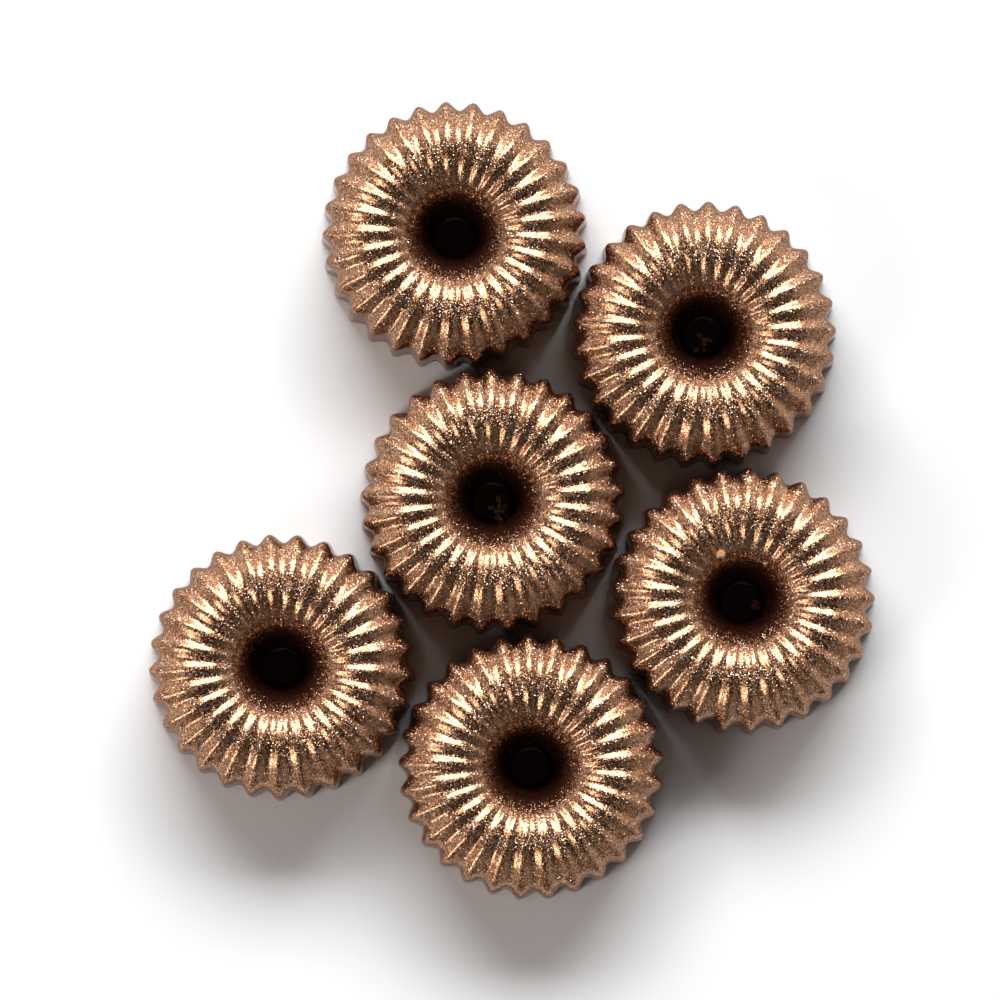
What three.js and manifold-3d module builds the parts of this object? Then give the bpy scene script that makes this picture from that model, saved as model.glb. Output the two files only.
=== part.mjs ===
// A set of six filled chocolates, turned out of a fluted ring mould and pushed together on a table.
// Each one is a fluted shell with a well in its middle, a ring of filling inside it, and a base
// that closes it underneath. Millimetres, +Z up, z = 0 on the table.
import * as THREE from 'three';
import { mergeVertices } from 'three/addons/utils/BufferGeometryUtils.js';
import Module from 'manifold-3d';

// Outside of one chocolate
const OUTER_DIAMETER = 30; // over the flute crests, at the foot
const HEIGHT = 14; // from the table to the crests on the crown
const CROWN_DIAMETER = 18; // circle along the top of the ring
const CROWN_ROUNDING = 5.4; // radius of the rounded top, outside that circle
const OUTER_SLOPE = 34; // degrees that the straight stretch outside the rounded top falls
const SHOULDER_ROUNDING = 2.4; // radius where that stretch turns down into the side
const SIDE_DRAFT = 0.25; // how far the side leans in, so that the piece leaves its mould

// Flutes
const FLUTE_COUNT = 29;
const FLUTE_DEPTH = 1; // crest to valley, on the side
const TOP_FLUTE_DEPTH = 0.54; // crest to valley, where the straight stretch meets the shoulder
const CREST_SHARE = 0.2; // of a flute's pitch that its crest takes up
const VALLEY_SHARE = 0.3; // and its valley
const FLUTE_START_DIAMETER = 7; // the flutes rise from nothing here

// Well in the middle
const WELL_LIP_DIAMETER = 7;
const WELL_LIP_HEIGHT = 8.2; // above the table
const WELL_FLOOR_DIAMETER = 4.9;

// Walls and fits inside
const SHELL_WALL = 1.4; // from the bottom of a flute valley to the cavity, and under the well
const BASE_THICKNESS = 1.3;
const FIT_GAP = 0.3; // between the shell, its filling and its base

// How the set lies: one chocolate in the middle and five round it, the sixth place left empty
const NEIGHBOUR_GAP = 0.1; // between the flute crests of two neighbours
const RING_PLACES = 6;
const RING_TURN = -21.8; // degrees from +X to the first place of the ring
const MIDDLE = null;
// One row for each chocolate: its place in the ring, and where its first flute points, in degrees
const CHOCOLATES = [
  { place: 2, turn: 6.9 },
  { place: 1, turn: 1.2 },
  { place: MIDDLE, turn: 3.9 },
  { place: 4, turn: 8.3 },
  { place: 5, turn: 4.4 },
  { place: 0, turn: 0.5 },
];

// Fineness of the round forms
const INNER_SIDES = 20; // cavity, filling and base

// Points along one flute: its place as a share of the flute, and +1 on the crest or -1 in the valley
const FLUTED = [
  [-CREST_SHARE / 2, 1],
  [CREST_SHARE / 2, 1],
  [(1 - VALLEY_SHARE) / 2, -1],
  [(1 + VALLEY_SHARE) / 2, -1],
];
const RIDGED = [[0, 1], [1 / 2, -1]];
const SMOOTH = [[0, 0]];

// Stations over the top of the ring, from the side to the lip of the well: which of its curves they
// are on, and how far along it as a share
const OUTER_STATIONS = [
  { curve: 'shoulder', along: 0, flute: FLUTED },
  { curve: 'shoulder', along: 1 / 2, flute: FLUTED },
  { curve: 'shoulder', along: 1, flute: FLUTED },
  { curve: 'crown', along: 1 / 3, flute: FLUTED },
  { curve: 'crown', along: 1, flute: FLUTED },
  { curve: 'bowl', along: 1 / 4, flute: RIDGED },
  { curve: 'bowl', along: 1 / 2, flute: SMOOTH },
  { curve: 'bowl', along: 3 / 4, flute: SMOOTH },
  { curve: 'bowl', along: 1, flute: SMOOTH },
];
const INNER_STATIONS = [
  { curve: 'shoulder', along: 1 },
  { curve: 'crown', along: 0 },
  { curve: 'crown', along: 1 },
  { curve: 'bowl', along: 1 / 2 },
  { curve: 'bowl', along: 1 },
];

// Sizes that follow from those above
const footRadius = (OUTER_DIAMETER - FLUTE_DEPTH) / 2;
const sideRadius = footRadius - SIDE_DRAFT;
const crownRadius = CROWN_DIAMETER / 2;
const crownHeight = HEIGHT - fluteReach(crownRadius);
const lipRadius = WELL_LIP_DIAMETER / 2;
const baseClearHeight = BASE_THICKNESS + FIT_GAP;
const wellFloorHeight = baseClearHeight + SHELL_WALL;
const cavityInset = FLUTE_DEPTH / 2 + SHELL_WALL;
const fillingInset = cavityInset + FIT_GAP;
const baseRadius = sideRadius - fillingInset;
const neighbourPitch = OUTER_DIAMETER + NEIGHBOUR_GAP;

const wasm = await Module();
wasm.setup();

/** Half the flute depth at a radius: it grows evenly over the top and faster round the shoulder. */
function fluteReach(radius) {
  const startRadius = FLUTE_START_DIAMETER / 2;
  const shoulderWidth = SHOULDER_ROUNDING * (1 - Math.sin(THREE.MathUtils.degToRad(OUTER_SLOPE)));
  const shoulderStart = sideRadius - shoulderWidth;
  const overTop = THREE.MathUtils.clamp((radius - startRadius) / (shoulderStart - startRadius), 0, 1);
  const roundShoulder = THREE.MathUtils.clamp((radius - shoulderStart) / shoulderWidth, 0, 1);
  return (TOP_FLUTE_DEPTH * overTop + (FLUTE_DEPTH - TOP_FLUTE_DEPTH) * roundShoulder) / 2;
}

/** The rounded shoulder, the rounded crown and the bowl down to the well, all set in by the same amount. */
function archCurves(inset) {
  const slope = THREE.MathUtils.degToRad(OUTER_SLOPE);
  const [outwards, slopeEnd, up, inwards] = [0, Math.PI / 2 - slope, Math.PI / 2, Math.PI];
  const crown = CROWN_ROUNDING - inset;
  const crownMiddle = crownHeight - CROWN_ROUNDING;
  const shoulder = Math.max(SHOULDER_ROUNDING - inset, 0);
  const shoulderRadius = sideRadius - inset - shoulder;
  const fall = (shoulderRadius - crownRadius) * Math.sin(slope);
  const shoulderMiddle = crownMiddle + (crown - shoulder - fall) / Math.cos(slope);
  const bowlSpan = crownRadius - lipRadius - inset;
  const bowlRise = crownHeight - inset - WELL_LIP_HEIGHT;
  return {
    shoulder: new THREE.EllipseCurve(shoulderRadius, shoulderMiddle, shoulder, shoulder, outwards, slopeEnd),
    crown: new THREE.EllipseCurve(crownRadius, crownMiddle, crown, crown, slopeEnd, up),
    bowl: new THREE.EllipseCurve(crownRadius, WELL_LIP_HEIGHT, bowlSpan, bowlRise, up, inwards),
  };
}

/** One closed ring of points at a station, pushed out and in along a direction to make the flutes. */
function flutedRing(radius, height, direction, flute) {
  const reach = fluteReach(radius);
  const ring = { angles: [], points: [] };
  for (let count = 0; count < FLUTE_COUNT; count += 1) {
    for (const [share, side] of flute) {
      const angle = ((count + share) / FLUTE_COUNT) * 2 * Math.PI;
      const out = radius + side * reach * Math.cos(direction);
      const up = height + side * reach * Math.sin(direction);
      ring.angles.push(angle);
      ring.points.push(new THREE.Vector3(out * Math.cos(angle), out * Math.sin(angle), up));
    }
  }
  return ring;
}

/** Triangles between two rings that may have different numbers of points. */
function stitch(lower, upper, faces) {
  const angleAt = (ring, index) => {
    const laps = Math.floor(index / ring.angles.length);
    return ring.angles[index % ring.angles.length] + laps * 2 * Math.PI;
  };
  const vertex = (ring, index) => ring.start + (index % ring.angles.length);
  let low = 0;
  let high = 0;
  while (low < lower.angles.length || high < upper.angles.length) {
    const lowerFirst = angleAt(lower, low + 1) <= angleAt(upper, high + 1);
    const lowerLeft = low < lower.angles.length;
    const upperLeft = high < upper.angles.length;
    if (lowerLeft && (lowerFirst || !upperLeft)) {
      faces.push(vertex(lower, low), vertex(lower, low + 1), vertex(upper, high));
      low += 1;
    } else {
      faces.push(vertex(lower, low), vertex(upper, high + 1), vertex(upper, high));
      high += 1;
    }
  }
}

/** A closed skin over a row of rings, with its two ends closed by fans to the axis. */
function skin(rings) {
  const points = [];
  const faces = [];
  for (const ring of rings) {
    ring.start = points.length;
    points.push(...ring.points);
  }
  for (let index = 1; index < rings.length; index += 1) {
    stitch(rings[index - 1], rings[index], faces);
  }
  const closeEnd = (ring, facingDown) => {
    const middle = points.length;
    points.push(new THREE.Vector3(0, 0, ring.points[0].z));
    ring.points.forEach((_, index) => {
      const here = ring.start + index;
      const next = ring.start + ((index + 1) % ring.points.length);
      faces.push(middle, ...(facingDown ? [next, here] : [here, next]));
    });
  };
  closeEnd(rings[0], true);
  closeEnd(rings[rings.length - 1], false);
  const geometry = new THREE.BufferGeometry().setFromPoints(points);
  geometry.setIndex(faces);
  return geometry;
}

/** A profile of (radius, height) points, from the axis to the axis or closed, turned about Z. */
function turned(profile) {
  return new THREE.LatheGeometry(profile, INNER_SIDES).rotateX(Math.PI / 2);
}

/** A solid for cutting, with shared corners merged and the slivers on the axis left out. */
function toSolid(geometry) {
  const bare = geometry.clone();
  bare.deleteAttribute('normal');
  bare.deleteAttribute('uv');
  const merged = mergeVertices(bare);
  const corners = merged.index.array;
  const triangles = [];
  for (let first = 0; first < corners.length; first += 3) {
    const [a, b, c] = corners.slice(first, first + 3);
    if (a !== b && b !== c && c !== a) {
      triangles.push(a, b, c);
    }
  }
  return new wasm.Manifold(new wasm.Mesh({
    numProp: 3,
    vertProperties: new Float32Array(merged.attributes.position.array),
    triVerts: new Uint32Array(triangles),
  }));
}

/** The geometry of a cut solid. */
function toGeometry(solid) {
  const mesh = solid.getMesh();
  const geometry = new THREE.BufferGeometry();
  geometry.setAttribute('position', new THREE.BufferAttribute(mesh.vertProperties, 3));
  geometry.setIndex(new THREE.BufferAttribute(mesh.triVerts, 1));
  geometry.computeVertexNormals();
  return geometry;
}

/** The outside of a chocolate as a full body: foot, side, arch and well. */
function flutedForm() {
  const curves = archCurves(0);
  const rings = [flutedRing(footRadius, 0, 0, FLUTED)];
  for (const { curve, along, flute } of OUTER_STATIONS) {
    const { aStartAngle, aEndAngle } = curves[curve];
    const { x: radius, y: height } = curves[curve].getPoint(along);
    rings.push(flutedRing(radius, height, THREE.MathUtils.lerp(aStartAngle, aEndAngle, along), flute));
  }
  rings.push(flutedRing(WELL_FLOOR_DIAMETER / 2, wellFloorHeight, 0, SMOOTH));
  return skin(rings);
}

/** The arch of the hollow ring and its wall beside the well, down to just above the base. */
function hollowSection(inset) {
  const curves = archCurves(inset);
  const section = INNER_STATIONS.map(({ curve, along }) => curves[curve].getPoint(along));
  section.push(new THREE.Vector2(WELL_FLOOR_DIAMETER / 2 + inset, baseClearHeight));
  return section;
}

/** The moulded shell: the fluted form with a ring-shaped cavity that opens underneath. */
function shellGeometry() {
  const seatRadius = sideRadius - cavityInset;
  const belowFoot = -FIT_GAP;
  const cavity = turned([
    new THREE.Vector2(0, belowFoot),
    new THREE.Vector2(seatRadius, belowFoot),
    ...hollowSection(cavityInset),
    new THREE.Vector2(0, baseClearHeight),
  ]);
  return toGeometry(toSolid(flutedForm()).subtract(toSolid(cavity)));
}

/** The ring of filling, which follows the cavity at the fit gap and ends above the base. */
function fillingGeometry() {
  const foot = new THREE.Vector2(baseRadius, baseClearHeight);
  return turned([foot, ...hollowSection(fillingInset), foot]);
}

/** The disc that closes the shell underneath, level with the shell's foot. */
function baseGeometry() {
  return turned([
    new THREE.Vector2(0, 0),
    new THREE.Vector2(baseRadius, 0),
    new THREE.Vector2(baseRadius, BASE_THICKNESS),
    new THREE.Vector2(0, BASE_THICKNESS),
  ]);
}

/** Chocolate dusted with a bronze lustre. */
function lustredChocolate() {
  return new THREE.MeshStandardMaterial({ color: 0x9c6b3e, roughness: 0.35, metalness: 0.8 });
}

/** Nut praline, set to a firm paste. */
function pralineFilling() {
  return new THREE.MeshStandardMaterial({ color: 0x8a5a34, roughness: 0.7, metalness: 0 });
}

/** Bare dark chocolate, scraped flat. */
function bareChocolate() {
  return new THREE.MeshStandardMaterial({ color: 0x2a140b, roughness: 0.4, metalness: 0 });
}

/** One chocolate, standing on its base round its own axis. */
function chocolate(name) {
  const pieces = [
    ['shell', shellGeometry(), lustredChocolate()],
    ['filling', fillingGeometry(), pralineFilling()],
    ['base', baseGeometry(), bareChocolate()],
  ];
  const group = new THREE.Group();
  for (const [piece, geometry, material] of pieces) {
    const mesh = new THREE.Mesh(geometry, material);
    mesh.name = `${name}_${piece}`;
    group.add(mesh);
  }
  return group;
}

/** The six chocolates in their places, with the set's box centred over the origin. */
function chocolateSet() {
  const set = new THREE.Group();
  CHOCOLATES.forEach(({ place, turn }, index) => {
    const piece = chocolate(`chocolate_${index + 1}`);
    piece.rotation.z = THREE.MathUtils.degToRad(turn);
    if (place !== MIDDLE) {
      const direction = THREE.MathUtils.degToRad(RING_TURN + (360 / RING_PLACES) * place);
      piece.position.set(Math.cos(direction), Math.sin(direction), 0).multiplyScalar(neighbourPitch);
    }
    set.add(piece);
  });
  const centre = new THREE.Box3().setFromObject(set, true).getCenter(new THREE.Vector3());
  set.position.set(-centre.x, -centre.y, 0);
  return set;
}

export default chocolateSet();
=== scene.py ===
"""Dresses a set of six filled chocolates, dusted with bronze lustre, and sets up their still picture.

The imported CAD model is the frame. Each chocolate gets a finely fluted shell, a smooth filling and
a scraped base, which stand for its three CAD nodes and ride on its body.
"""

import logging
import math
import random
from dataclasses import dataclass
from enum import Enum
from typing import Callable

import bpy
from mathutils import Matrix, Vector


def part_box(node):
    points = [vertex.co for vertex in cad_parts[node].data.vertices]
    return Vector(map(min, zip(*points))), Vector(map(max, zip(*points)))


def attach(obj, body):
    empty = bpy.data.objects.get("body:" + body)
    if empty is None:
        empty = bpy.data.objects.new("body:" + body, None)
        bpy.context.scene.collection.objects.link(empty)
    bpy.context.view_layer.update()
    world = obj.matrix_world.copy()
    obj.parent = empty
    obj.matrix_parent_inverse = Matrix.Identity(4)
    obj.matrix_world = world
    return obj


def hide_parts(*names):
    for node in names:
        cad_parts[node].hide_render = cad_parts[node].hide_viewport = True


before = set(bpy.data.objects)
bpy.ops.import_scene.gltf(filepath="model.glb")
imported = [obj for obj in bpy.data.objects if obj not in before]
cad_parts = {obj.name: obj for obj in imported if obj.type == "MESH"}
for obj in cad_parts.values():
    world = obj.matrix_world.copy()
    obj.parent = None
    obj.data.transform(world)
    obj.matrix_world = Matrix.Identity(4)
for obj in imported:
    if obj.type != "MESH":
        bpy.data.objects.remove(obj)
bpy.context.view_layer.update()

MM = 0.001
MERGE_DISTANCE = MM / 1000
ARCH_STEP = 5.0  # degrees between two points of a rounded outline
SMOOTH_ANGLE = math.radians(30)
Colour = tuple[float, float, float]
Stops = tuple[tuple[float, Colour], ...]

log = logging.getLogger("chocolates")


class Slot(Enum):
    """The material slots of the CAD model's pieces."""

    LUSTRE = "lustre"
    PRALINE = "praline"
    BARE_CHOCOLATE = "bare_chocolate"


class Part(Enum):
    """The three pieces of a chocolate, by the ends of their names."""

    SHELL = "shell"
    FILLING = "filling"
    BASE = "base"


class Draw(Enum):
    """The random numbers that each flake of lustre draws."""

    COVER = 1.0
    TINT = 2.0


# Modelling


def deselect_all() -> None:
    """Goes back to object mode with nothing selected."""
    if bpy.context.mode != "OBJECT":
        bpy.ops.object.mode_set(mode="OBJECT")
    bpy.ops.object.select_all(action="DESELECT")


def make_active(piece: bpy.types.Object) -> None:
    """Selects one piece alone and makes it active."""
    deselect_all()
    piece.select_set(True)
    bpy.context.view_layer.objects.active = piece


def take_new(name: str) -> bpy.types.Object:
    """Names the piece that an operator has just added.

    Args:
        name: Name for the object and its mesh.

    Returns:
        The new object.
    """
    piece = bpy.context.active_object
    piece.name = name
    piece.data.name = name
    return piece


def apply_modifier(piece: bpy.types.Object, kind: str, **settings: object) -> None:
    """Adds a modifier to a piece and applies it.

    Args:
        piece: The object to change.
        kind: Blender's name for the modifier's type.
        settings: Values for the modifier's fields.
    """
    make_active(piece)
    modifier = piece.modifiers.new(kind.title(), kind)
    for setting, value in settings.items():
        setattr(modifier, setting, value)
    bpy.ops.object.modifier_apply(modifier=modifier.name)


@dataclass(frozen=True)
class Station:
    """A point of an outline that is turned into a round piece, in metres."""

    radius: float
    height: float
    flute_reach: float = 0.0
    lustre: float = 0.0

    @property
    def point(self) -> Vector:
        """The station's place in the XZ plane."""
        return Vector((self.radius, 0.0, self.height))


def turn_outline(name: str, stations: list[Station], steps: int) -> bpy.types.Object:
    """Draws an outline point by point and spins it about the Z axis into a closed piece.

    The mesh keeps each station's flute reach and lustre as point attributes.

    Args:
        name: Name of the new piece.
        stations: The outline, in order; it ends on the axis or where it began.
        steps: Number of columns round the axis.

    Returns:
        The new object, with its faces pointing outwards.
    """
    deselect_all()
    bpy.ops.mesh.primitive_plane_add(size=MM, location=stations[0].point)
    bpy.ops.object.transform_apply(location=True, rotation=True, scale=True)
    piece = take_new(name)
    bpy.ops.object.mode_set(mode="EDIT")
    bpy.ops.mesh.select_all(action="SELECT")
    bpy.ops.mesh.merge(type="CENTER")
    for here, after in zip(stations, stations[1:]):
        bpy.ops.mesh.extrude_region_move(TRANSFORM_OT_translate={"value": after.point - here.point})
    bpy.ops.object.mode_set(mode="OBJECT")
    for field_name in ("flute_reach", "lustre"):
        attribute = piece.data.attributes.new(field_name, "FLOAT", "POINT")
        attribute.data.foreach_set("value", [getattr(station, field_name) for station in stations])
    bpy.ops.object.mode_set(mode="EDIT")
    bpy.ops.mesh.select_all(action="SELECT")
    bpy.ops.mesh.spin(steps=steps, angle=math.tau, center=(0, 0, 0), axis=(0, 0, 1))
    bpy.ops.mesh.select_all(action="SELECT")
    bpy.ops.mesh.remove_doubles(threshold=MERGE_DISTANCE)
    bpy.ops.mesh.normals_make_consistent(inside=False)
    bpy.ops.object.mode_set(mode="OBJECT")
    return piece


def select_vertices(piece: bpy.types.Object, wanted: Callable[[Vector], bool]) -> None:
    """Goes into edit mode with the vertices selected that pass a test of their place.

    Args:
        piece: The object to edit.
        wanted: Says of a vertex's place whether it is wanted.
    """
    make_active(piece)
    bpy.ops.object.mode_set(mode="EDIT")
    bpy.ops.mesh.select_mode(type="VERT")
    bpy.ops.mesh.select_all(action="DESELECT")
    bpy.ops.object.mode_set(mode="OBJECT")
    for vertex in piece.data.vertices:
        vertex.select = wanted(vertex.co)
    bpy.ops.object.mode_set(mode="EDIT")


def smoothstep(value: float, start: float, end: float) -> float:
    """Rises smoothly from 0 at start to 1 at end."""
    share = min(max((value - start) / (end - start), 0.0), 1.0)
    return share * share * (3 - 2 * share)


def arc(
    middle: tuple[float, float], reach: tuple[float, float], turn: tuple[float, float], step: float
) -> list[tuple[float, float]]:
    """Gives points along an arc in an outline.

    Args:
        middle: Radius and height of the arc's middle.
        reach: Half its width and half its height.
        turn: Where it starts and ends, in degrees from the outward direction.
        step: Rough number of degrees between two points.

    Returns:
        Radius and height of each point.
    """
    first, last = turn
    count = max(round((last - first) / step), 1)
    angles = [math.radians(first + (last - first) * index / count) for index in range(count + 1)]
    return [
        (middle[0] + reach[0] * math.cos(angle), middle[1] + reach[1] * math.sin(angle))
        for angle in angles
    ]


def fill_in(points: list[tuple[float, float]], longest: float) -> list[tuple[float, float]]:
    """Adds even points on the straight stretches of an outline.

    Args:
        points: Radius and height of each point.
        longest: The longest stretch that may be left.

    Returns:
        The outline with the added points.
    """
    filled = points[:1]
    for (radius, height), (next_radius, next_height) in zip(points, points[1:]):
        count = math.ceil(math.hypot(next_radius - radius, next_height - height) / longest)
        for index in range(1, count + 1):
            share = index / count
            filled.append((radius + (next_radius - radius) * share, height + (next_height - height) * share))
    return filled


# Sizes shared by the pieces of a chocolate


@dataclass(frozen=True)
class MouldSizes:
    """The sizes of one chocolate as its mould gives them, in metres. They are the CAD model's."""

    outer_diameter: float = 30.0 * MM
    height: float = 14.0 * MM
    crown_diameter: float = 18.0 * MM
    crown_rounding: float = 5.4 * MM
    outer_slope: float = 34.0
    shoulder_rounding: float = 2.4 * MM
    side_draft: float = 0.25 * MM
    flute_count: int = 29
    flute_depth: float = 1.0 * MM
    top_flute_depth: float = 0.54 * MM
    flute_start_diameter: float = 7.0 * MM
    well_lip_diameter: float = 7.0 * MM
    well_lip_height: float = 8.2 * MM
    well_floor_diameter: float = 4.9 * MM
    shell_wall: float = 1.4 * MM
    base_thickness: float = 1.3 * MM
    fit_gap: float = 0.3 * MM

    @property
    def foot_radius(self) -> float:
        """Mean radius of the fluted side at the table."""
        return (self.outer_diameter - self.flute_depth) / 2

    @property
    def side_radius(self) -> float:
        """Mean radius at the top of the side."""
        return self.foot_radius - self.side_draft

    @property
    def crown_radius(self) -> float:
        """Radius of the circle along the top of the ring."""
        return self.crown_diameter / 2

    @property
    def crown_height(self) -> float:
        """Mean height of the crown, half a flute below its crests."""
        return self.height - self.flute_reach(self.crown_radius)

    @property
    def lip_radius(self) -> float:
        """Radius of the well at its lip."""
        return self.well_lip_diameter / 2

    @property
    def floor_radius(self) -> float:
        """Radius of the well at its floor."""
        return self.well_floor_diameter / 2

    @property
    def base_clear_height(self) -> float:
        """Height of everything that stays just above the base."""
        return self.base_thickness + self.fit_gap

    @property
    def well_floor_height(self) -> float:
        """Height of the well's floor."""
        return self.base_clear_height + self.shell_wall

    @property
    def cavity_inset(self) -> float:
        """How far the cavity lies inside the mean outside."""
        return self.flute_depth / 2 + self.shell_wall

    @property
    def base_radius(self) -> float:
        """Radius of the base."""
        return self.side_radius - self.cavity_inset - self.fit_gap

    def flute_reach(self, radius: float) -> float:
        """Gives half the flute depth at a radius.

        Args:
            radius: Distance from the axis.

        Returns:
            The reach, which grows evenly over the top of the ring and faster round its shoulder.
        """
        start = self.flute_start_diameter / 2
        shoulder_width = self.shoulder_rounding * (1 - math.sin(math.radians(self.outer_slope)))
        shoulder = self.side_radius - shoulder_width
        over_top = min(max((radius - start) / (shoulder - start), 0.0), 1.0)
        round_shoulder = min(max((radius - shoulder) / shoulder_width, 0.0), 1.0)
        depth = self.top_flute_depth * over_top + (self.flute_depth - self.top_flute_depth) * round_shoulder
        return depth / 2

    def top_height(self, radius: float) -> float:
        """Gives the mean height of the top, or of the well's floor, at a radius.

        Args:
            radius: Distance from the axis.

        Returns:
            The height above the table.
        """
        outline = self.arch(ARCH_STEP)
        for (outer, low), (inner, high) in zip(outline, outline[1:]):
            if inner <= radius <= outer:
                return low + (high - low) * (outer - radius) / max(outer - inner, MERGE_DISTANCE)
        return self.well_floor_height

    def arch(self, step: float, inset: float = 0.0) -> list[tuple[float, float]]:
        """Gives the outline over the top of the ring, from the side to the lip of the well.

        Args:
            step: Degrees between two points of its rounded stretches.
            inset: How far the outline is set in from the outside.

        Returns:
            Radius and height of each point. The long stretch between the rounded shoulder and the
            rounded crown is straight.
        """
        slope = math.radians(self.outer_slope)
        crown = self.crown_rounding - inset
        crown_middle = self.crown_height - self.crown_rounding
        shoulder = max(self.shoulder_rounding - inset, 0.0)
        shoulder_radius = self.side_radius - inset - shoulder
        run = shoulder_radius - self.crown_radius
        shoulder_middle = crown_middle + (crown - shoulder - run * math.sin(slope)) / math.cos(slope)
        bowl_span = self.crown_radius - self.lip_radius - inset
        bowl_rise = self.crown_height - inset - self.well_lip_height
        turn = 90 - self.outer_slope
        points = []
        if shoulder:
            points += arc((shoulder_radius, shoulder_middle), (shoulder, shoulder), (0, turn), step)
        else:
            points.append((shoulder_radius, shoulder_middle))
        points += arc((self.crown_radius, crown_middle), (crown, crown), (turn, 90), step)
        points += arc((self.crown_radius, self.well_lip_height), (bowl_span, bowl_rise), (90, 180), step)[1:]
        return points


# Finishes


class Recipe:
    """A material's nodes, with short calls to add and join them."""

    def __init__(self, name: str) -> None:
        """Starts a material with its one shader.

        Args:
            name: Name of the material.
        """
        self.material = bpy.data.materials.new(name)
        self.material.use_nodes = True
        self.nodes = self.material.node_tree.nodes
        self.shader = self.nodes["Principled BSDF"]
        self.place = self.add("ShaderNodeTexCoord").outputs["Object"]

    def add(
        self, kind: str, inputs: dict[str | int, object] | None = None, **settings: object
    ) -> bpy.types.Node:
        """Adds a node.

        Args:
            kind: Blender's name for the node's type.
            inputs: Sockets to join, or values to set, by name or number.
            settings: Values for the node's fields.

        Returns:
            The new node.
        """
        node = self.nodes.new(kind)
        for setting, value in settings.items():
            setattr(node, setting, value)
        for socket, value in (inputs or {}).items():
            self.feed(node.inputs[socket], value)
        return node

    def feed(self, socket: bpy.types.NodeSocket, value: object) -> None:
        """Joins a socket to another one, or sets its value."""
        if isinstance(value, bpy.types.NodeSocket):
            self.material.node_tree.links.new(value, socket)
        else:
            socket.default_value = value

    def shade(self, **inputs: object) -> None:
        """Feeds the shader's sockets, named with underscores for spaces."""
        for name, value in inputs.items():
            self.feed(self.shader.inputs[name.replace("_", " ")], value)

    def ramp(self, value: bpy.types.NodeSocket, stops: Stops) -> bpy.types.NodeSocket:
        """Turns a value into a colour.

        Args:
            value: The value from 0 to 1.
            stops: Places on the ramp and their colours, in order.

        Returns:
            The colour's socket.
        """
        node = self.add("ShaderNodeValToRGB", {"Fac": value})
        elements = node.color_ramp.elements
        while len(elements) < len(stops):
            elements.new(0.5)
        for element, (position, colour) in zip(elements, stops):
            element.position = position
            element.color = (*colour, 1.0)
        return node.outputs["Color"]

    def mix_colours(
        self, share: bpy.types.NodeSocket, first: object, second: object
    ) -> bpy.types.NodeSocket:
        """Mixes two colours.

        Args:
            share: How much of the second colour shows.
            first: Socket or value of the first colour.
            second: Socket or value of the second colour.

        Returns:
            The mixed colour's socket.
        """
        node = self.add("ShaderNodeMix", data_type="RGBA")
        sockets = [socket for socket in node.inputs if socket.type == "RGBA"]
        self.feed(node.inputs["Factor"], share)
        for socket, colour in zip(sockets, (first, second)):
            self.feed(socket, colour if isinstance(colour, bpy.types.NodeSocket) else (*colour, 1.0))
        return next(socket for socket in node.outputs if socket.type == "RGBA")

    def math(self, operation: str, *values: object) -> bpy.types.NodeSocket:
        """Does one sum.

        Args:
            operation: Blender's name for it.
            values: Its sockets or numbers, in order.

        Returns:
            The result's socket.
        """
        node = self.add("ShaderNodeMath", dict(enumerate(values)), operation=operation)
        return node.outputs["Value"]

    def between(self, share: bpy.types.NodeSocket, low: float, high: float) -> bpy.types.NodeSocket:
        """Maps 0 to 1 onto low to high."""
        node = self.add("ShaderNodeMapRange", {"Value": share, "To Min": low, "To Max": high})
        return node.outputs["Result"]

    def vector(self, operation: str, inputs: dict[str | int, object]) -> bpy.types.NodeSocket:
        """Does one sum with vectors."""
        node = self.add("ShaderNodeVectorMath", inputs, operation=operation)
        return node.outputs["Vector"]


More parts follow.
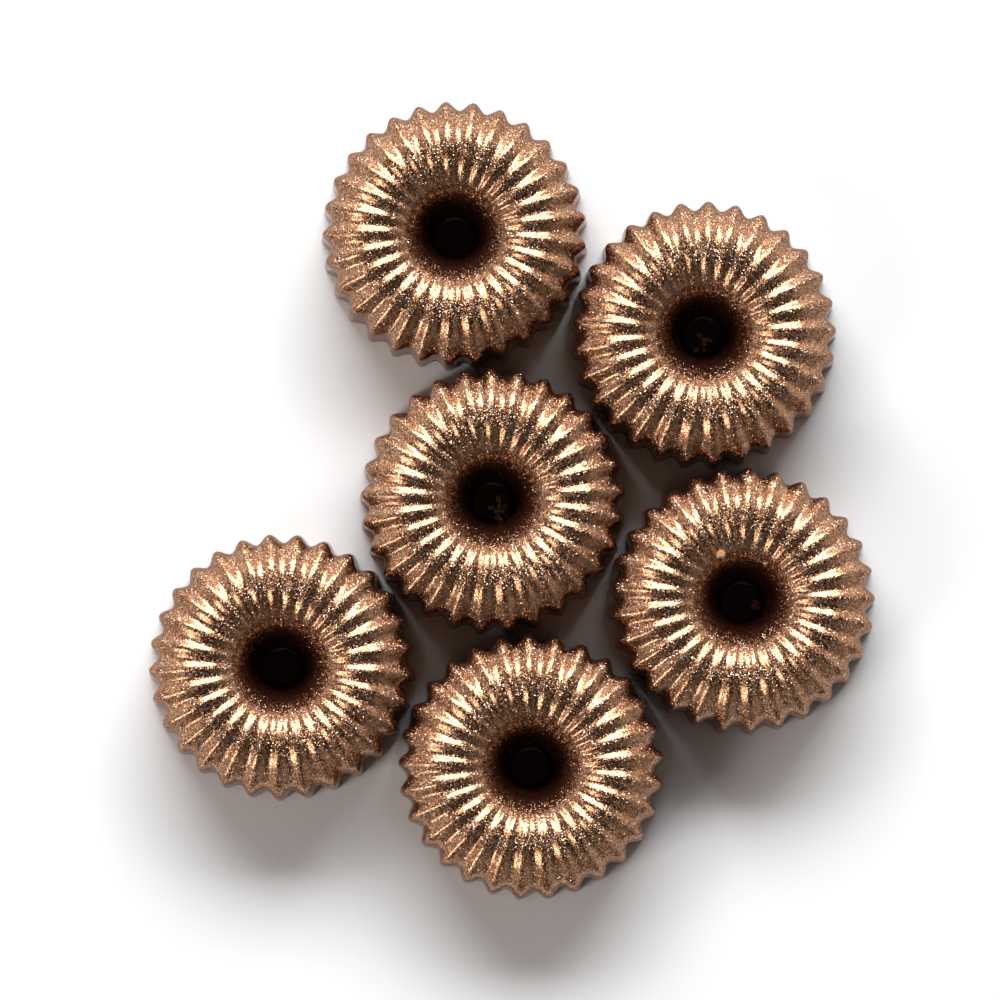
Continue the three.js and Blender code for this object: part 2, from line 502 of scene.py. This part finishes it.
@dataclass(frozen=True)
class BronzeLustre:
    """A fine bronze film with loose glints in it, thinning out to bare chocolate in the well."""

    flake_size: float = 0.065 * MM
    flake_lean: float = 0.06
    glint_size: float = 0.07 * MM
    glint_share: float = 0.42
    glint_lean: float = 0.5
    full_cover: float = 0.86
    flake_roughness: float = 0.18
    glint_roughness: float = 0.28
    bare_roughness: float = 0.1
    bare_colour: Colour = (0.035, 0.0085, 0.004)
    bare_tint: Colour = (1.0, 1.0, 1.0)
    edge_tint: Colour = (0.45, 0.30, 0.28)
    film_tints: Stops = (
        (0.0, (0.25, 0.075, 0.028)),
        (0.5, (0.45, 0.195, 0.078)),
        (1.0, (0.84, 0.60, 0.39)),
    )
    glint_tints: Stops = (
        (0.0, (0.22, 0.065, 0.025)),
        (0.6, (0.52, 0.26, 0.125)),
        (1.0, (0.96, 0.82, 0.66)),
    )

    def material(self) -> bpy.types.Material:
        """Makes the material, which reads the shell's lustre attribute."""
        recipe = Recipe("bronze_lustre")
        flake = self.flakes(recipe, self.flake_size)
        glint = self.flakes(recipe, self.glint_size)
        cover = recipe.add("ShaderNodeAttribute", attribute_name="lustre").outputs["Fac"]
        film_cover = recipe.math("MULTIPLY", cover, self.full_cover)
        filmed = recipe.math("LESS_THAN", self.chance(recipe, flake, Draw.COVER), film_cover)
        glint_cover = recipe.math("MULTIPLY", recipe.math("SQRT", cover), self.glint_share)
        glinting = recipe.math("LESS_THAN", self.chance(recipe, glint, Draw.COVER), glint_cover)
        dusted = recipe.math("MAXIMUM", filmed, glinting)

        shown = recipe.mix_colours(glinting, flake, glint)
        luck = self.chance(recipe, shown, Draw.TINT)
        film_tint = recipe.ramp(luck, self.film_tints)
        glint_tint = recipe.ramp(luck, self.glint_tints)
        tint = recipe.mix_colours(glinting, film_tint, glint_tint)

        aside = recipe.vector("SUBTRACT", {0: shown, 1: (0.5, 0.5, 0.5)})
        lean = recipe.between(glinting, 2 * self.flake_lean, 2 * self.glint_lean)
        aside = recipe.vector("SCALE", {0: aside, "Scale": recipe.math("MULTIPLY", dusted, lean)})
        facing = recipe.add("ShaderNodeNewGeometry").outputs["Normal"]
        film_roughness = recipe.between(dusted, self.bare_roughness, self.flake_roughness)
        glint_roughness = recipe.math("MULTIPLY", glinting, self.glint_roughness)
        recipe.shade(
            Base_Color=recipe.mix_colours(dusted, self.bare_colour, tint),
            Metallic=dusted,
            Specular_Tint=recipe.mix_colours(dusted, self.bare_tint, self.edge_tint),
            Roughness=recipe.math("MAXIMUM", film_roughness, glint_roughness),
            Normal=recipe.vector("NORMALIZE", {0: recipe.vector("ADD", {0: facing, 1: aside})}),
        )
        return recipe.material

    def flakes(self, recipe: Recipe, size: float) -> bpy.types.NodeSocket:
        """Strews flakes of one size, each with a random colour of its own."""
        cells = recipe.add("ShaderNodeTexVoronoi", {"Vector": recipe.place, "Scale": 1 / size})
        return cells.outputs["Color"]

    def chance(self, recipe: Recipe, flake: bpy.types.NodeSocket, draw: Draw) -> bpy.types.NodeSocket:
        """Draws a number from 0 to 1 for each flake.

        Args:
            recipe: The material's nodes.
            flake: The flake's own random colour.
            draw: Which of its draws this is.

        Returns:
            The number's socket.
        """
        inputs = {"Vector": flake, "W": draw.value}
        noise = recipe.add("ShaderNodeTexWhiteNoise", inputs, noise_dimensions="4D")
        return noise.outputs["Value"]


@dataclass(frozen=True)
class ScrapedChocolate:
    """Dark chocolate struck off flat with a scraper, which leaves fine streaks."""

    streak_spacing: float = 0.9 * MM
    streak_depth: float = 0.03 * MM
    streak_stretch: tuple[float, float, float] = (0.12, 1.0, 1.0)
    streak_detail: float = 5.0
    dark_below: float = 0.3
    pale_above: float = 0.75
    smoothest: float = 0.3
    roughest: float = 0.55
    dark: Colour = (0.030, 0.012, 0.006)
    pale: Colour = (0.060, 0.026, 0.014)

    def material(self) -> bpy.types.Material:
        """Makes the material."""
        recipe = Recipe("scraped_chocolate")
        along = recipe.add("ShaderNodeMapping", {"Vector": recipe.place, "Scale": self.streak_stretch})
        streaks = recipe.add(
            "ShaderNodeTexNoise",
            {
                "Vector": along.outputs["Vector"],
                "Scale": 1 / self.streak_spacing,
                "Detail": self.streak_detail,
            },
        ).outputs["Fac"]
        bump = recipe.add(
            "ShaderNodeBump", {"Height": streaks, "Distance": self.streak_depth, "Strength": 1.0}
        )
        recipe.shade(
            Base_Color=recipe.ramp(streaks, ((self.dark_below, self.dark), (self.pale_above, self.pale))),
            Roughness=recipe.between(streaks, self.smoothest, self.roughest),
            Normal=bump.outputs["Normal"],
        )
        return recipe.material


@dataclass(frozen=True)
class NutPraline:
    """Firm nut paste with fine grains of nut in it."""

    grain_size: float = 0.5 * MM
    grain_height: float = 0.06 * MM
    largest_grain: float = 0.55
    bump_strength: float = 0.6
    paste_roughness: float = 0.62
    nut_roughness: float = 0.8
    paste: Colour = (0.20, 0.095, 0.040)
    nut: Colour = (0.46, 0.29, 0.14)
    name: str = "nut_praline"

    def material(self) -> bpy.types.Material:
        """Makes the material."""
        recipe = Recipe(self.name)
        grains = recipe.add("ShaderNodeTexVoronoi", {"Vector": recipe.place, "Scale": 1 / self.grain_size})
        size = recipe.add("ShaderNodeTexWhiteNoise", {"Vector": grains.outputs["Color"]}).outputs["Value"]
        reach = recipe.math("MULTIPLY", size, self.largest_grain)
        grain = recipe.math("LESS_THAN", grains.outputs["Distance"], reach)
        bump = recipe.add(
            "ShaderNodeBump",
            {"Height": grain, "Distance": self.grain_height, "Strength": self.bump_strength},
        )
        recipe.shade(
            Base_Color=recipe.mix_colours(grain, self.paste, self.nut),
            Roughness=recipe.between(grain, self.paste_roughness, self.nut_roughness),
            Normal=bump.outputs["Normal"],
        )
        return recipe.material


@dataclass(frozen=True)
class PaleTable:
    """The plain white table that the chocolates lie on."""

    colour: Colour = (0.9, 0.9, 0.9)
    fibre_size: float = 0.8 * MM
    smoothest: float = 0.85
    roughest: float = 0.95

    def material(self) -> bpy.types.Material:
        """Makes the material."""
        recipe = Recipe("pale_table")
        fibres = recipe.add("ShaderNodeTexNoise", {"Vector": recipe.place, "Scale": 1 / self.fibre_size})
        recipe.shade(
            Base_Color=(*self.colour, 1.0),
            Roughness=recipe.between(fibres.outputs["Fac"], self.smoothest, self.roughest),
            Specular_IOR_Level=0.0,
        )
        return recipe.material


# Pieces of a chocolate


@dataclass(frozen=True)
class Shell:
    """The moulded shell: fluted outside, a well in its middle, and a cavity that opens underneath."""

    sizes: MouldSizes
    columns_per_flute: int = 16
    side_rows: int = 6
    arch_step: float = ARCH_STEP
    longest_row: float = 0.5 * MM
    cavity_step: float = 22.5
    well_rows: int = 4
    edge: float = 0.15 * MM
    well_fillet: float = 0.8 * MM
    fillet_steps: int = 9
    dust_full_radius: float = 7.4 * MM
    dust_half_radius: float = 4.9 * MM
    dust_end_radius: float = 2.6 * MM
    rim_start_radius: float = 10.5 * MM
    rim_cover: float = 0.5
    flute_lift: float = 1.0 * MM

    def dust(self, radius: float) -> float:
        """Gives the share of the surface that lustre covers.

        Args:
            radius: Distance from the axis.

        Returns:
            0 for bare chocolate to 1 for a full cover.
        """
        if radius > self.rim_start_radius:
            past_start = smoothstep(radius, self.rim_start_radius, self.sizes.side_radius)
            return 1.0 + (self.rim_cover - 1.0) * past_start
        if radius > self.dust_half_radius:
            return 0.5 + 0.5 * smoothstep(radius, self.dust_half_radius, self.dust_full_radius)
        return 0.5 * smoothstep(radius, self.dust_end_radius, self.dust_half_radius)

    def outer(self, radius: float, height: float) -> Station:
        """Makes a station of the top or the well, with its flutes and its dust."""
        return Station(radius, height, self.sizes.flute_reach(radius), self.dust(radius))

    def cavity_stations(self) -> list[Station]:
        """The outline of the cavity, from the axis under the well to the rim round the base."""
        sizes = self.sizes
        plate_radius = sizes.floor_radius + sizes.cavity_inset
        seat_radius = sizes.side_radius - sizes.cavity_inset
        low = sizes.base_clear_height
        stations = [
            Station(0.0, low),
            Station(plate_radius / 2, low),
            Station(plate_radius - self.edge, low),
            Station(plate_radius, low),
            Station(plate_radius, low + self.edge),
        ]
        for point in reversed(sizes.arch(self.cavity_step, sizes.cavity_inset)):
            stations.append(Station(*point))
        stations.append(Station(seat_radius, stations[-1].height / 2))
        stations.append(Station(seat_radius, self.edge))
        stations.append(Station(seat_radius, 0.0))
        stations.append(Station(seat_radius + self.edge, 0.0))
        return stations

    def side_stations(self) -> list[Station]:
        """The outline of the foot and the side, up to the arch."""
        sizes = self.sizes
        top_radius, top_height = sizes.arch(self.arch_step)[0]
        reach = sizes.flute_depth / 2
        # The corner of the foot is pushed out at 45 degrees, so its reach is longer.
        stations = [
            Station(sizes.foot_radius - reach - 2 * self.edge, 0.0),
            Station(sizes.foot_radius, 0.0, reach * math.sqrt(2), self.rim_cover),
            Station(sizes.foot_radius, self.edge, reach, self.rim_cover),
        ]
        for row in range(1, self.side_rows):
            share = row / self.side_rows
            radius = sizes.foot_radius + (top_radius - sizes.foot_radius) * share
            stations.append(Station(radius, top_height * share, reach, self.rim_cover))
        return stations

    def arch_stations(self) -> list[Station]:
        """The outline over the top of the ring, from the side to the lip of the well."""
        return [self.outer(*point) for point in fill_in(self.sizes.arch(self.arch_step), self.longest_row)]

    def well_stations(self) -> list[Station]:
        """The outline of the well below its lip, to the middle of its floor."""
        sizes = self.sizes
        fillet = self.well_fillet
        foot_radius = sizes.floor_radius
        foot_height = sizes.well_floor_height + fillet
        stations = []
        for row in range(1, self.well_rows):
            share = row / self.well_rows
            radius = sizes.lip_radius + (foot_radius - sizes.lip_radius) * share
            height = sizes.well_lip_height + (foot_height - sizes.well_lip_height) * share
            stations.append(self.outer(radius, height))
        for step in range(self.fillet_steps + 1):
            turn = math.radians(90 * step / self.fillet_steps)
            radius = foot_radius - fillet * (1 - math.cos(turn))
            stations.append(self.outer(radius, foot_height - fillet * math.sin(turn)))
        stations.append(self.outer(foot_radius / 2, sizes.well_floor_height))
        stations.append(self.outer(0.0, sizes.well_floor_height))
        return stations

    def build(self, material: bpy.types.Material) -> bpy.types.Object:
        """Models the shell round the Z axis.

        Args:
            material: The finish of its surface.

        Returns:
            The new object.
        """
        outline = self.cavity_stations() + self.side_stations() + self.arch_stations() + self.well_stations()
        steps = self.sizes.flute_count * self.columns_per_flute
        piece = turn_outline("shell_model", outline, steps)
        self.raise_flutes(piece)
        self.flatten_foot(piece)
        bpy.ops.object.shade_smooth()
        piece.data.materials.append(material)
        return piece

    def raise_flutes(self, piece: bpy.types.Object) -> None:
        """Pushes the crests out and the valleys in, square to the smooth ring."""
        reaches = [item.value for item in piece.data.attributes["flute_reach"].data]
        crests = piece.vertex_groups.new(name="crests")
        valleys = piece.vertex_groups.new(name="valleys")
        for vertex in piece.data.vertices:
            turn = math.atan2(vertex.co.y, vertex.co.x) * self.sizes.flute_count
            wave = math.cos(turn)
            lift = abs(wave) * reaches[vertex.index] / self.flute_lift
            group = crests if wave > 0 else valleys
            group.add([vertex.index], lift, "REPLACE")
        apply_modifier(piece, "DISPLACE", vertex_group="crests", strength=self.flute_lift, mid_level=0)
        apply_modifier(piece, "DISPLACE", vertex_group="valleys", strength=-self.flute_lift, mid_level=0)
        bpy.ops.object.vertex_group_remove(all=True)

    def flatten_foot(self, piece: bpy.types.Object) -> None:
        """Brings the fluted edge of the foot back down onto the table."""
        seat_radius = self.sizes.side_radius - self.sizes.cavity_inset
        select_vertices(piece, lambda place: place.z < self.edge / 2 and place.xy.length > seat_radius)
        bpy.ops.transform.resize(value=(1, 1, 0), center_override=(0, 0, 0))
        bpy.ops.object.mode_set(mode="OBJECT")


@dataclass(frozen=True)
class Filling:
    """The ring of praline inside the shell."""

    sizes: MouldSizes
    steps: int = 96
    arch_step: float = 15.0
    edge: float = 0.2 * MM

    def build(self, material: bpy.types.Material) -> bpy.types.Object:
        """Models the filling round the Z axis.

        Args:
            material: The finish of its surface.

        Returns:
            The new object.
        """
        sizes = self.sizes
        inset = sizes.cavity_inset + sizes.fit_gap
        low = sizes.base_clear_height
        inner = sizes.floor_radius + inset
        outline = [
            Station(inner, low + self.edge),
            Station(inner + self.edge, low),
            Station(sizes.base_radius - self.edge, low),
            Station(sizes.base_radius, low + self.edge),
        ]
        outline += [Station(*point) for point in sizes.arch(self.arch_step, inset)]
        outline.append(outline[0])
        piece = turn_outline("filling_model", outline, self.steps)
        bpy.ops.object.shade_smooth_by_angle(angle=SMOOTH_ANGLE)
        piece.data.materials.append(material)
        return piece


@dataclass(frozen=True)
class Base:
    """The disc of chocolate that closes the shell underneath, scraped level with its foot."""

    sizes: MouldSizes
    steps: int = 96
    edge: float = 0.12 * MM

    def build(self, material: bpy.types.Material) -> bpy.types.Object:
        """Models the base round the Z axis.

        Args:
            material: The finish of its surface.

        Returns:
            The new object.
        """
        radius = self.sizes.base_radius
        thickness = self.sizes.base_thickness
        outline = [
            Station(0.0, 0.0),
            Station(radius - self.edge, 0.0),
            Station(radius, self.edge),
            Station(radius, thickness - self.edge),
            Station(radius - self.edge, thickness),
            Station(0.0, thickness),
        ]
        piece = turn_outline("base_model", outline, self.steps)
        bpy.ops.object.shade_smooth_by_angle(angle=SMOOTH_ANGLE)
        piece.data.materials.append(material)
        return piece


@dataclass(frozen=True)
class Crumbs:
    """Crumbs of roasted nut that lie on one chocolate, scattered round a spot, in metres."""

    chocolate: str
    count: int
    spot: tuple[float, float]
    spread: float
    size: float
    sunk: float = 0.25
    flatness: float = 0.6
    slimness: float = 0.7
    smallest: float = 0.6
    roughness: float = 0.3

    def build(self, sizes: MouldSizes, axis: Vector, material: bpy.types.Material) -> bpy.types.Object:
        """Models one crumb and scatters copies of it.

        Args:
            sizes: The chocolate's sizes.
            axis: The foot of the chocolate's axis.
            material: The finish of the crumbs.

        Returns:
            All the crumbs as one object.
        """
        chance = random.Random(f"{self.chocolate} {self.count}")
        copies = []
        for number in range(self.count):
            away = self.spread * math.sqrt(chance.random())
            turn = chance.uniform(0, math.tau)
            aside = Vector((self.spot[0] + away * math.cos(turn), self.spot[1] + away * math.sin(turn), 0.0))
            size = self.size * chance.uniform(self.smallest, 1.0)
            lift = sizes.top_height(aside.length) + size / 2 * (self.flatness - self.sunk)
            copies.append(self.crumb(axis + aside + Vector((0.0, 0.0, lift)), size, turn, number))
        deselect_all()
        for copy in copies:
            copy.select_set(True)
        bpy.context.view_layer.objects.active = copies[0]
        bpy.ops.object.join()
        piece = take_new(f"{self.chocolate}_crumbs_{self.count}")
        bpy.ops.object.transform_apply(location=True, rotation=True, scale=True)
        piece.data.materials.append(material)
        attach(piece, self.chocolate)
        log.info("%s: %d faces", piece.name, len(piece.data.polygons))
        return piece

    def crumb(self, place: Vector, size: float, turn: float, number: int) -> bpy.types.Object:
        """Models one lumpy crumb.

        Args:
            place: Its middle.
            size: Its longest size.
            turn: Its bearing, in radians.
            number: Its number, from which its lumps follow.

        Returns:
            The new object.
        """
        deselect_all()
        bpy.ops.mesh.primitive_ico_sphere_add(subdivisions=2, radius=size / 2)
        piece = take_new("crumb")
        bpy.ops.object.mode_set(mode="EDIT")
        bpy.ops.mesh.select_all(action="SELECT")
        bpy.ops.transform.vertex_random(offset=size / 2 * self.roughness, uniform=1.0, seed=number)
        bpy.ops.object.mode_set(mode="OBJECT")
        piece.scale = (1.0, self.slimness, self.flatness)
        piece.rotation_euler.z = turn
        piece.location = place
        bpy.ops.object.transform_apply(location=True, rotation=True, scale=True)
        return piece


# The set


@dataclass(frozen=True)
class Chocolate:
    """One chocolate of the set: its CAD name, and where its first flute points, in degrees."""

    name: str
    first_flute: float

    @property
    def axis(self) -> Vector:
        """The foot of the chocolate's axis, under the middle of its CAD base."""
        low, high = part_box(f"{self.name}_{Part.BASE.value}")
        return Vector(((low.x + high.x) / 2, (low.y + high.y) / 2, 0.0))

    def place(self, model: bpy.types.Object, part: Part, slot: Slot) -> bpy.types.Object:
        """Puts a copy of a modelled piece where its CAD node is.

        Args:
            model: The piece round the Z axis.
            part: Which piece of the chocolate it is.
            slot: The material slot of its finish; it is not used.

        Returns:
            The copy, with its own mesh.
        """
        make_active(model)
        bpy.ops.object.duplicate(linked=False)
        piece = take_new(f"{self.name}_{part.value}_dressed")
        piece.location = self.axis
        piece.rotation_euler.z = math.radians(self.first_flute)
        bpy.ops.object.transform_apply(location=True, rotation=True, scale=True)
        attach(piece, self.name)
        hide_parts(f"{self.name}_{part.value}")
        log.info("%s: %d faces", piece.name, len(piece.data.polygons))
        return piece


@dataclass(frozen=True)
class ChocolateSet:
    """The six chocolates as they lie on the table."""

    sizes: MouldSizes = MouldSizes()
    chocolates: tuple[Chocolate, ...] = (
        Chocolate("chocolate_1", 6.9),
        Chocolate("chocolate_2", 1.2),
        Chocolate("chocolate_3", 3.9),
        Chocolate("chocolate_4", 8.3),
        Chocolate("chocolate_5", 4.4),
        Chocolate("chocolate_6", 0.5),
    )
    crumbs: tuple[Crumbs, ...] = (
        Crumbs("chocolate_2", 9, (0.2 * MM, -0.6 * MM), 1.5 * MM, 0.8 * MM),
        Crumbs("chocolate_2", 1, (-12.4 * MM, 0.5 * MM), 0.0, 1.2 * MM),
        Crumbs("chocolate_3", 10, (0.7 * MM, -0.9 * MM), 1.3 * MM, 1.0 * MM),
        Crumbs("chocolate_6", 5, (1.7 * MM, -0.5 * MM), 0.6 * MM, 0.8 * MM),
        Crumbs("chocolate_6", 1, (-2.5 * MM, 5.0 * MM), 0.0, 1.4 * MM),
    )

    def build(self) -> None:
        """Models each piece once and puts a copy of it in every chocolate, then adds the crumbs."""
        models = (
            (Shell(self.sizes).build(BronzeLustre().material()), Part.SHELL, Slot.LUSTRE),
            (Filling(self.sizes).build(NutPraline().material()), Part.FILLING, Slot.PRALINE),
            (Base(self.sizes).build(ScrapedChocolate().material()), Part.BASE, Slot.BARE_CHOCOLATE),
        )
        for model, part, slot in models:
            for chocolate in self.chocolates:
                chocolate.place(model, part, slot)
            bpy.data.objects.remove(model, do_unlink=True)
        roasted = NutPraline(paste=(0.50, 0.24, 0.10), nut=(0.68, 0.42, 0.22), name="roasted_nut").material()
        axes = {chocolate.name: chocolate.axis for chocolate in self.chocolates}
        for crumbs in self.crumbs:
            crumbs.build(self.sizes, axes[crumbs.chocolate], roasted)


# Table, light and camera


@dataclass(frozen=True)
class Softbox:
    """A studio light, aimed at the middle of the table; its angles are in degrees."""

    name: str
    bearing: float
    elevation: float
    width: float
    height: float
    radiance: float
    colour: Colour
    distance: float = 2.0

    def build(self) -> None:
        """Hangs the light; its bearing is clockwise from +Y, in degrees."""
        bearing = math.radians(self.bearing)
        elevation = math.radians(self.elevation)
        towards = Vector(
            (
                math.sin(bearing) * math.cos(elevation),
                math.cos(bearing) * math.cos(elevation),
                math.sin(elevation),
            )
        )
        across = 2 * self.distance * math.tan(math.radians(self.width / 2))
        up = 2 * self.distance * math.tan(math.radians(self.height / 2))
        deselect_all()
        bpy.ops.object.light_add(type="AREA", location=towards * self.distance)
        lamp = take_new(self.name)
        lamp.rotation_euler = towards.to_track_quat("Z", "Y").to_euler()
        lamp.data.shape = "RECTANGLE"
        lamp.data.size = across
        lamp.data.size_y = up
        lamp.data.energy = self.radiance * math.pi * across * up
        lamp.data.color = self.colour


@dataclass(frozen=True)
class Studio:
    """The white table, two soft lights over it, the dim room and the camera above."""

    table_side: float = 4.0
    table_drop: float = 0.02 * MM
    room_colour: Colour = (1.0, 0.92, 0.89)
    room_far: float = 1.6
    room_near: float = 0.25
    room_overhead: float = 0.02
    fade_start: float = 0.05
    fade_end: float = 0.75
    camera_tilt: float = 1.8
    camera_distance: float = 1.2
    view_width: float = 112.7 * MM
    view_middle: tuple[float, float] = (-1.33 * MM, 0.27 * MM)
    sensor: float = 36.0
    lights: tuple[Softbox, ...] = (
        Softbox("key_light", 0.0, 40.0, 58.0, 25.0, 11.0, (0.96, 1.0, 1.03)),
        Softbox("fill_light", 236.0, 33.0, 20.0, 32.0, 6.0, (1.0, 0.93, 0.89)),
    )

    def build(self) -> None:
        """Sets up the table, the lights, the room and the camera."""
        self.lay_table()
        for light in self.lights:
            light.build()
        self.light_room()
        self.hang_camera()
        bpy.context.scene.view_settings.view_transform = "Standard"

    def lay_table(self) -> None:
        """Lays the table just under the chocolates."""
        deselect_all()
        bpy.ops.mesh.primitive_plane_add(size=self.table_side, location=(0.0, 0.0, -self.table_drop))
        table = take_new("table")
        table.data.materials.append(PaleTable().material())

    def light_room(self) -> None:
        """Gives the room a faint glow, brightest on the far side and fading out overhead."""
        world = bpy.data.worlds.new("room")
        world.use_nodes = True
        nodes = world.node_tree.nodes
        links = world.node_tree.links
        place = nodes.new("ShaderNodeTexCoord")
        split = nodes.new("ShaderNodeSeparateXYZ")
        sides = nodes.new("ShaderNodeMapRange")
        sides.inputs["From Min"].default_value = -1.0
        sides.inputs["To Min"].default_value = self.room_near
        sides.inputs["To Max"].default_value = self.room_far
        fade = nodes.new("ShaderNodeMapRange")
        fade.interpolation_type = "SMOOTHSTEP"
        fade.inputs["From Min"].default_value = self.fade_start
        fade.inputs["From Max"].default_value = self.fade_end
        fade.inputs["To Max"].default_value = self.room_overhead
        glow = nodes["Background"]
        glow.inputs["Color"].default_value = (*self.room_colour, 1.0)
        links.new(place.outputs["Generated"], split.inputs["Vector"])
        links.new(split.outputs["Y"], sides.inputs["Value"])
        links.new(split.outputs["Z"], fade.inputs["Value"])
        links.new(sides.outputs["Result"], fade.inputs["To Min"])
        links.new(fade.outputs["Result"], glow.inputs["Strength"])
        bpy.context.scene.world = world

    def hang_camera(self) -> None:
        """Hangs the camera nearly overhead, tilted a little towards the near side."""
        tilt = math.radians(self.camera_tilt)
        towards = Vector((0.0, -math.sin(tilt), math.cos(tilt)))
        middle = Vector((*self.view_middle, 0.0))
        deselect_all()
        bpy.ops.object.camera_add(location=middle + towards * self.camera_distance)
        camera = take_new("camera")
        camera.rotation_euler = towards.to_track_quat("Z", "Y").to_euler()
        camera.data.sensor_width = self.sensor
        camera.data.lens = self.sensor * self.camera_distance / self.view_width
        bpy.context.scene.camera = camera


def main() -> None:
    """Builds the set and its studio."""
    logging.basicConfig(level=logging.INFO, format="%(name)s: %(message)s")
    ChocolateSet().build()
    log.info("the set is dressed")
    Studio().build()
    log.info("the studio is ready")


if __name__ == "__main__":
    main()
